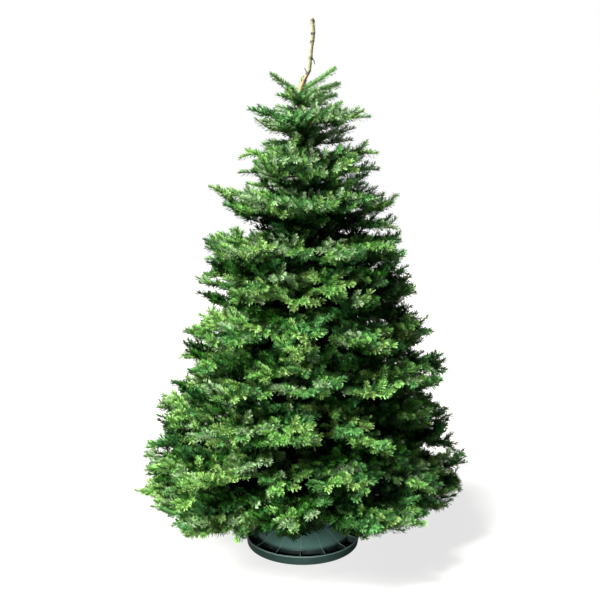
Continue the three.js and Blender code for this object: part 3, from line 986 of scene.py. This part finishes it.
def threads_mesh(name, lines, **values):
    """A mesh of bare lines, each a list of points, with named values at its points."""
    mesh = bpy.data.meshes.new(name)
    edges = []
    first = 0
    for line in lines:
        edges += [(first + i, first + i + 1) for i in range(len(line) - 1)]
        first += len(line)
    mesh.from_pydata(np.concatenate(lines).tolist(), edges, [])
    for key, rows in values.items():
        mesh.attributes.new(key, "FLOAT", "POINT").data.foreach_set("value", np.concatenate(rows).astype(np.float32))
    return mesh


def limb_tree():
    """Bark round lines: a closed tube of the line's own thickness, with uneven relief."""
    net, given = open_tree("bark_round_limbs", ["Sides", "Relief", "Grain", "Material"])
    curves = net.add("GeometryNodeMeshToCurve", {}, {"Mesh": given["Geometry"]})
    thickness = net.add("GeometryNodeInputNamedAttribute", {"data_type": "FLOAT"}, {"Name": "thickness"})
    ring = net.add("GeometryNodeCurvePrimitiveCircle", {}, {"Resolution": given["Sides"], "Radius": 1.0})
    tube = {"Curve": curves, "Profile Curve": ring, "Scale": thickness, "Fill Caps": True}
    bark_tube = net.add("GeometryNodeCurveToMesh", {}, tube)
    lumps = net.add("ShaderNodeTexNoise", {}, {"Scale": given["Grain"], "Detail": 3.0}, "Fac")
    normal = net.add("GeometryNodeInputNormal")
    rise = (lumps - 0.5) * given["Relief"]
    offset = net.add("ShaderNodeVectorMath", {"operation": "SCALE"}, {0: normal, "Scale": rise})
    uneven = net.add("GeometryNodeSetPosition", {}, {"Geometry": bark_tube, "Offset": offset})
    smooth = net.add("GeometryNodeSetShadeSmooth", {}, {"Geometry": uneven, "Shade Smooth": True})
    return close_tree(net, smooth, given["Material"])


def limb_thickness(limb):
    return TIP_THICKNESS + THICKENING * limb.to_tip


def young_bark():
    """The bark of boughs and twigs: thin, grey-brown to olive, a little shiny."""
    material, net, shader = surface("young_bark", Specular_IOR_Level=0.3)
    mottle = cloud(net, 60, 5.0, 0.65)
    net.join(blend_colors(net, mottle, (0.034, 0.030, 0.014), (0.110, 0.092, 0.044)), shader.inputs["Base Color"])
    net.join(0.55 + mottle * 0.3, shader.inputs["Roughness"])
    bump(net, shader, cloud(net, 500, 5.0, 0.7), 0.4, 0.0008)
    return material


bark_on_limbs = limb_tree()
limb_bark = young_bark()
boughs = [limb for limb in limbs if limb.order == 0]
twigs = [limb for limb in limbs if limb.order > 0]
bare_boughs = [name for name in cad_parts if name.startswith("bough_tier_")]
bough_lines = threads_mesh("boughs", [l.points[::2] for l in boughs], thickness=[limb_thickness(l)[::2] for l in boughs])
bough_bark = grown(
    new_object("bough_bark", bough_lines),
    bark_on_limbs,
    {"Sides": 8, "Relief": 0.0022, "Grain": 95.0, "Material": limb_bark},
)
stand_in(bough_bark, "bark", *bare_boughs)
twig_lines = threads_mesh("twigs", [l.points[::2] for l in twigs], thickness=[limb_thickness(l)[::2] for l in twigs])
twig_bark = grown(
    new_object("twig_bark", twig_lines),
    bark_on_limbs,
    {"Sides": 3, "Relief": 0.0006, "Grain": 260.0, "Material": limb_bark},
)
stand_in(twig_bark, "bark")

pegs = []
for i in range(LEADER_PEGS):
    foot = LEADER_FOOT + 0.05 + (1.995 - LEADER_FOOT - 0.05) * (i + chance.random()) / LEADER_PEGS
    facing = TURN * i
    radius = LEADER_SWELL * trunk_radius(foot)
    out = np.array([radius - 0.001, radius + PEG_LENGTH * chance.uniform(0.5, 1.0)])
    rise = np.array([0, PEG_LENGTH * chance.uniform(0.1, 0.7)])
    pegs.append(np.column_stack((trunk_centre(foot) + out * math.cos(facing), out * math.sin(facing), foot + rise)))
peg_values = {"Sides": 3, "Relief": 0.0, "Grain": 1.0, "Material": trunk_bark}
peg_lines = threads_mesh("pegs", pegs, thickness=[np.array([0.0010, 0.0006])] * len(pegs))
stand_in(grown(new_object("leader_pegs", peg_lines), bark_on_limbs, peg_values), "bark")
stubs = [np.array([(x, 0, z) for x, z in stub]) for stub in LEADER_STUBS]
stub_lines = threads_mesh("stubs", stubs, thickness=[np.linspace(0.0026, 0.0014, len(stub)) for stub in stubs])
stub_values = {"Sides": 8, "Relief": 0.0006, "Grain": 300.0, "Material": limb_bark}
stand_in(grown(new_object("leader_stubs", stub_lines), bark_on_limbs, stub_values), "bark")


# ---- Needles ----
# Flat blunt needles, about twenty millimetres long, set round every young shoot and swept upward. The newest
# growth is the palest, and each spray has a green of its own.

NEW_GROWTH = 0.050  # length of the newest growth on each limb
YOUNG = 0.25  # how far back from its tip a limb is thickly needled
OLDEST = 0.42  # how far back from its tip a limb still has needles
NEEDLE_LENGTH = 0.0195
NEEDLE_WIDTH = 0.0034
SPACING = 0.00132
INNER_SPACING = 0.0024
INNER_SIZE = 1.6  # the inner needles' size beside the others'
GOLDEN_TURN = 2.39996
PIECE_NEEDLES = 96000
CHART = "OFBake"
TINTS = 16  # tints to each side of the needles' colour chart, where a row is a spray's and a column a needle's


def needle_tree():
    """Needles round lines. Each is a flat blade, narrower and twisted towards its blunt tip."""
    sizes = ["Spacing", "Needle length", "Needle width", "Upsweep", "Roll", "Seed", "Material"]
    net, given = open_tree("needles_on_shoots", sizes)
    vectors = {"data_type": "FLOAT_VECTOR"}

    def vector(operation, *values, **named):
        return net.add("ShaderNodeVectorMath", {"operation": operation}, {**dict(enumerate(values)), **named})

    def scaled(value, by):
        return vector("SCALE", value, Scale=by)

    def anything(low, high, offset):
        spread = {"Min": low, "Max": high, "Seed": given["Seed"] + offset}
        return net.add("FunctionNodeRandomValue", {"data_type": "FLOAT"}, spread)

    def marked(geometry, name, value, domain="POINT", kind="FLOAT"):
        values = {"Geometry": geometry, "Name": name, "Value": value}
        return net.add("GeometryNodeStoreNamedAttribute", {"data_type": kind, "domain": domain}, values)

    def read(name):
        return net.add("GeometryNodeInputNamedAttribute", {"data_type": "FLOAT"}, {"Name": name})

    blade = net.add("GeometryNodeMeshGrid", {}, {"Size X": 1.0, "Size Y": 1.0, "Vertices X": 2, "Vertices Y": 2})
    corner = net.add("GeometryNodeInputPosition")
    outward = net.add("ShaderNodeSeparateXYZ", {}, {"Vector": corner}, "X") + 0.5
    across = net.add("ShaderNodeSeparateXYZ", {}, {"Vector": corner}, "Y")
    blade = marked(marked(blade, "outward", outward), "across", across + 0.5)
    moved = {"X": outward, "Y": across * (1 - outward * 0.4), "Z": across * outward * 0.6 + outward * 0.5}
    shaped = net.add("ShaderNodeCombineXYZ", {}, moved)
    blade = net.add("GeometryNodeSetPosition", {}, {"Geometry": blade, "Position": shaped})
    blade = net.add("GeometryNodeSetShadeSmooth", {}, {"Geometry": blade, "Shade Smooth": False})

    curves = net.add("GeometryNodeMeshToCurve", {}, {"Mesh": given["Geometry"]})
    spots = {"Curve": curves, "Length": given["Spacing"]}
    points = net.add("GeometryNodeCurveToPoints", {"mode": "LENGTH"}, spots, "Points")
    tangent = Wire(net, points.socket.node.outputs["Tangent"])
    index = net.add("GeometryNodeInputIndex")
    column = anything(0, TINTS, 6)
    points = marked(points, "column", column.maths("FLOOR", column))

    side = vector("NORMALIZE", vector("CROSS_PRODUCT", tangent, (0.0, 0.0, 1.0)))
    up = vector("CROSS_PRODUCT", side, tangent)
    turn = index * GOLDEN_TURN + anything(-0.5, 0.5, 1)
    upward = turn.maths("COSINE", turn) + given["Upsweep"]
    around = vector("NORMALIZE", vector("ADD", scaled(up, upward), scaled(side, turn.maths("SINE", turn))))
    young = (read("to_tip") * 70.0).clamped()
    lean = 0.48 + young * 0.52 + anything(-0.16, 0.16, 2)
    forward = scaled(tangent, lean.maths("COSINE", lean))
    direction = vector("ADD", forward, scaled(around, lean.maths("SINE", lean)))
    faced = {"Primary Axis": direction, "Secondary Axis": vector("ADD", tangent, (0.0, 0.0, 0.8))}
    axes = {"primary_axis": "X", "secondary_axis": "Z"}
    rotation = net.add("FunctionNodeAxesToRotation", axes, faced)
    rolled = {"Axis": (1.0, 0.0, 0.0), "Angle": anything(-1.0, 1.0, 3) * given["Roll"]}
    roll = net.add("FunctionNodeAxisAngleToRotation", {}, rolled)
    turned_by = {"Rotation": rotation, "Rotate By": roll}
    rotation = net.add("FunctionNodeRotateRotation", {"rotation_space": "LOCAL"}, turned_by)
    long = given["Needle length"] * anything(0.82, 1.12, 4) * (0.78 + young * 0.22)
    wide = given["Needle width"] * anything(0.85, 1.15, 5)
    size = net.add("ShaderNodeCombineXYZ", {}, {"X": long, "Y": wide, "Z": wide})
    copies = {"Points": points, "Instance": blade, "Rotation": rotation, "Scale": size}
    needles = net.add("GeometryNodeRealizeInstances", {}, {"Geometry": net.add("GeometryNodeInstanceOnPoints", {}, copies)})
    chart_x = (read("column") + 0.06 + read("outward") * 0.88) * (1 / TINTS)
    chart_y = (read("row") + 0.1 + read("across") * 0.8) * (1 / TINTS)
    chart = net.add("ShaderNodeCombineXYZ", {}, {"X": chart_x, "Y": chart_y})
    return close_tree(net, marked(needles, CHART, chart, "CORNER", "FLOAT2"), given["Material"])


def needle_green(name, foot, tip, shine):
    """Waxy fir needles, darker at the foot as painted shade and paler at the tip as painted light. Sprays and single
    needles differ a little.
    """
    material, net, shader = surface(name, Specular_IOR_Level=shine)
    chart = net.add("ShaderNodeUVMap", {"uv_map": CHART})
    column = net.add("ShaderNodeSeparateXYZ", {}, {"Vector": chart}, "X") * TINTS
    row = net.add("ShaderNodeSeparateXYZ", {}, {"Vector": chart}, "Y") * TINTS
    outward = column.maths("FRACT", column)
    own = column.maths("FLOOR", column) * (1 / (TINTS - 1))
    spray = row.maths("FLOOR", row) * (1 / (TINTS - 1))
    pale = blend_colors(net, outward, [1.2 * c for c in foot], [1.2 * c for c in tip])
    deep = blend_colors(net, outward, [0.5 * c for c in foot], [0.5 * c for c in tip])
    net.join(blend_colors(net, spray * 0.78 + own * 0.22, deep, pale), shader.inputs["Base Color"])
    net.join(0.34 + own * 0.16, shader.inputs["Roughness"])
    return material


def stretch_of(limb, start, end):
    """The part of a limb between two distances from its tip: points, their distances, and the spray's tint."""
    start, end = max(0, start), min(limb.length, end)
    if end - start < 0.008:
        return None
    at = np.linspace(end, start, max(3, round((end - start) / LIMB_STEP) + 1))
    back = limb.to_tip[::-1]
    points = np.column_stack([np.interp(at, back, limb.points[::-1, k]) for k in range(3)])
    return points, at, np.full(len(at), random.Random(limb.spray).randrange(TINTS))


# Each green: its foot and tip colours, and its share of the sprays low on the left, low on the right and high up.
# The shares paint light and shade: paler greens on the lit left and high up, cooler and darker ones on the shaded
# right.
NEW_GREENS = {
    "pale": ((0.180, 0.370, 0.130), (0.43, 0.65, 0.35), (0.22, 0.05, 0.52)),
    "warm": ((0.110, 0.280, 0.045), (0.33, 0.56, 0.17), (0.32, 0.12, 0.10)),
    "clear": ((0.070, 0.225, 0.038), (0.22, 0.48, 0.12), (0.32, 0.36, 0.28)),
    "cool": ((0.040, 0.165, 0.034), (0.12, 0.36, 0.10), (0.14, 0.47, 0.10)),
}
OLD_GREENS = {
    "deep": ((0.012, 0.082, 0.008), (0.046, 0.190, 0.022), (0.62, 0.36, 0.60)),
    "blue": ((0.007, 0.054, 0.009), (0.026, 0.128, 0.026), (0.38, 0.64, 0.40)),
}
# Near-black inner green: painted shade in the crown's depth and on older wood, over the old needles' own deeper green.
INNER_GREEN = ((0.002, 0.016, 0.002), (0.006, 0.036, 0.005))
NEW_SHINE = 0.30
DULLER = {"deep": 0.20, "blue": 0.20, "inner": 0.08}  # the shine of old needles


def pick(greens, limb):
    """The green of a limb, which all of its spray shares: paler on the lit left and high up, darker on the shaded
    right, as painted light and shade.
    """
    rightness = 0.5 + 0.5 * math.tanh(limb.points[0, 0] / 0.25)
    highness = min(1.0, max(0.0, (limb.points[0, 2] - 1.15) / 0.5))
    dice = random.Random(limb.spray).random()
    for name, (_, _, (left, right, high)) in greens.items():
        dice -= (left + (right - left) * rightness) * (1 - highness) + high * highness
        if dice < 0:
            break
    return name


dealt = {name: [] for name in [*NEW_GREENS, *OLD_GREENS, "inner"]}
for limb in limbs:
    reach = float(limb.room.limit(math.atan2(limb.points[-1, 1], limb.points[-1, 0])))
    deep_inside = math.hypot(limb.points[-1, 0], limb.points[-1, 1]) < 0.42 * reach and reach > 0.35
    new_until = NEW_GROWTH * random.Random(limb.length).uniform(0.8, 1.3)
    if limb.order == WHORL_ORDER:
        dealt["pale"] += [stretch_of(limb, 0, limb.length)] * 3
        continue
    # Needles deep in the crown and on the short shoots of older wood take the near-black inner green, a painted shade.
    if deep_inside or limb.order == INNER_ORDER:
        dealt["inner"].append(stretch_of(limb, 0, OLDEST))
        continue
    # Painted shade: old greens on the newest growth and the near-black inner green behind it.
    if int(limb.spray) in painted_shade_boughs:
        dealt[pick(OLD_GREENS, limb)].append(stretch_of(limb, 0, new_until))
        dealt["inner"].append(stretch_of(limb, new_until, OLDEST))
        continue
    dealt[pick(NEW_GREENS, limb)].append(stretch_of(limb, 0, new_until))
    dealt[pick(OLD_GREENS, limb)].append(stretch_of(limb, new_until, YOUNG))
    # The oldest needles take the near-black inner green: painted shade over their own deeper green.
    dealt["inner"].append(stretch_of(limb, YOUNG, OLDEST))

needle_rule = needle_tree()
masses = [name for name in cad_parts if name.startswith("needles_")]
greens = {name: row[:2] for name, row in {**NEW_GREENS, **OLD_GREENS, "inner": INNER_GREEN}.items()}
for number, (name, (foot, tip)) in enumerate(greens.items()):
    lines = [line for line in dealt[name] if line]
    spacing, size = (INNER_SPACING, INNER_SIZE) if name == "inner" else (SPACING, 1)
    amount = sum(line[1][0] - line[1][-1] for line in lines) / spacing
    parts = math.ceil(amount / PIECE_NEEDLES)
    print(name, round(amount), parts)
    material = needle_green(f"{name}_needle_green", foot, tip, DULLER.get(name, NEW_SHINE))
    for part in range(parts):
        own = lines[part::parts]
        points, distances, rows = zip(*own)
        mesh = threads_mesh("shoots", points, to_tip=distances, row=rows)
        inputs = {
            "Spacing": spacing,
            "Needle length": NEEDLE_LENGTH * size,
            "Needle width": NEEDLE_WIDTH * size,
            "Upsweep": 0.42,
            "Roll": 0.40,
            "Seed": 10 * number + part,
            "Material": material,
        }
        piece = grown(new_object(f"needles_{name}_{part + 1}", mesh), needle_rule, inputs)
        stand_in(piece, "needles", *masses)


# ---- Buds ----
# Small resin-brown winter buds, one on the tip of every shoot and three on the tips of the boughs.

BUD_LENGTH = 0.0062
BUD_WIDTH = 0.0042
BUDDED = 0.07  # shorter shoots end in buds too small to show


def bud_tree():
    """Buds at points, each pointing along its shoot."""
    net, given = open_tree("buds_on_tips", ["Bud length", "Bud width", "Seed", "Material"])
    ball = net.add("GeometryNodeMeshUVSphere", {}, {"Segments": 4, "Rings": 2, "Radius": 0.5})
    along = net.add("GeometryNodeInputNamedAttribute", {"data_type": "FLOAT_VECTOR"}, {"Name": "along"})
    rotation = net.add("FunctionNodeAlignRotationToVector", {"axis": "Z"}, {"Vector": along})
    spread = {"Min": 0.8, "Max": 1.2, "Seed": given["Seed"]}
    plump = net.add("FunctionNodeRandomValue", {"data_type": "FLOAT"}, spread)
    wide = given["Bud width"] * plump
    size = net.add("ShaderNodeCombineXYZ", {}, {"X": wide, "Y": wide, "Z": given["Bud length"] * plump})
    copies = {"Points": given["Geometry"], "Instance": ball, "Rotation": rotation, "Scale": size}
    return close_tree(net, net.add("GeometryNodeInstanceOnPoints", {}, copies), given["Material"])


def bud_brown():
    """Bud scales under a skin of dried resin."""
    material, net, shader = surface("bud_brown", Specular_IOR_Level=0.5)
    net.join(blend_colors(net, cloud(net, 300), (0.045, 0.024, 0.014), (0.13, 0.065, 0.032)), shader.inputs["Base Color"])
    net.join(0.35 + cloud(net, 500) * 0.3, shader.inputs["Roughness"])
    return material


bud_places = []
bud_axes = []
for limb in limbs:
    if limb.length < BUDDED:
        continue
    tip = limb.points[-1]
    axis = Vector(limb.points[-1] - limb.points[-2]).normalized()
    aside = axis.cross(Vector((0, 0, 1))).normalized()
    axes = [axis]
    if limb.order == 0:
        axes += [(axis + 0.9 * aside).normalized(), (axis - 0.9 * aside).normalized()]
    for direction in axes:
        bud_places.append(Vector(tip) + direction * BUD_LENGTH * 0.35)
        bud_axes.append(direction)
bud_mesh = bpy.data.meshes.new("bud_places")
bud_mesh.from_pydata(bud_places, [], [])
bud_mesh.attributes.new("along", "FLOAT_VECTOR", "POINT").data.foreach_set("vector", np.array(bud_axes).ravel())
buds = grown(
    new_object("buds", bud_mesh),
    bud_tree(),
    {"Bud length": BUD_LENGTH, "Bud width": BUD_WIDTH, "Seed": 7, "Material": bud_brown()},
)
stand_in(buds, "bark")


# ---- Floor and light ----
# A plain pale studio floor, a broad key light above on the left, and an even white surround.

floor_mesh = bpy.data.meshes.new("floor")
floor_mesh.from_pydata([(-9, -9, 0), (9, -9, 0), (9, 9, 0), (-9, 9, 0)], [], [(0, 1, 2, 3)])
floor_paint, floor_net, floor_shader = surface("floor_paint", Roughness=0.9, Specular_IOR_Level=0.0)
floor_tone = blend_colors(floor_net, cloud(floor_net, 1.5), (0.21, 0.21, 0.205), (0.24, 0.24, 0.235))
floor_net.join(floor_tone, floor_shader.inputs["Base Color"])
lit_for_view = floor_net.add("ShaderNodeLightPath", output="Is Camera Ray")
floor_glow = blend_colors(floor_net, lit_for_view, (0, 0, 0), (1, 1, 1))
floor_net.join(floor_glow, floor_shader.inputs["Emission Color"])
floor_shader.inputs["Emission Strength"].default_value = 0.76
floor = new_object("floor", floor_mesh, floor_paint)

world = bpy.data.worlds.new("surround")
world.use_nodes = True
bpy.context.scene.world = world
air = Net(world.node_tree)
seen = air.add("ShaderNodeLightPath", output="Is Camera Ray")
glow = world.node_tree.nodes["Background"]
air.join(0.06 + seen * 0.94, glow.inputs["Strength"])
glow.inputs["Color"].default_value = (1, 1, 1, 1)


def sun(name, strength, width, angle, height, color):
    """A distant light from a compass angle round the tree and a height above the floor."""
    lamp = bpy.data.lights.new(name, "SUN")
    lamp.energy = strength
    lamp.angle = math.radians(width)
    lamp.color = color
    light = bpy.data.objects.new(name, lamp)
    towards = Vector((math.cos(angle) * math.cos(height), math.sin(angle) * math.cos(height), math.sin(height)))
    light.rotation_euler = towards.to_track_quat("Z", "Y").to_euler()
    bpy.context.scene.collection.objects.link(light)


sun("top_light", 7.2, 12, math.radians(-140), math.radians(62), (1.0, 0.98, 0.92))
sun("side_light", 8.0, 20, math.radians(-160), math.radians(36), (1.0, 0.97, 0.90))

STAND_LIGHT_PLACE = Vector((-0.70, -2.6, 0.62))
lamp = bpy.data.lights.new("stand_light", "SPOT")
lamp.energy = 240
lamp.spot_size = math.radians(12)
lamp.spot_blend = 0.8
lamp.shadow_soft_size = 0.15
stand_light = bpy.data.objects.new("stand_light", lamp)
stand_light.location = STAND_LIGHT_PLACE
stand_light.rotation_euler = (STAND_LIGHT_PLACE - Vector((0, -0.24, -0.12))).to_track_quat("Z", "Y").to_euler()
bpy.context.scene.collection.objects.link(stand_light)
bpy.context.scene.view_settings.view_transform = "Standard"
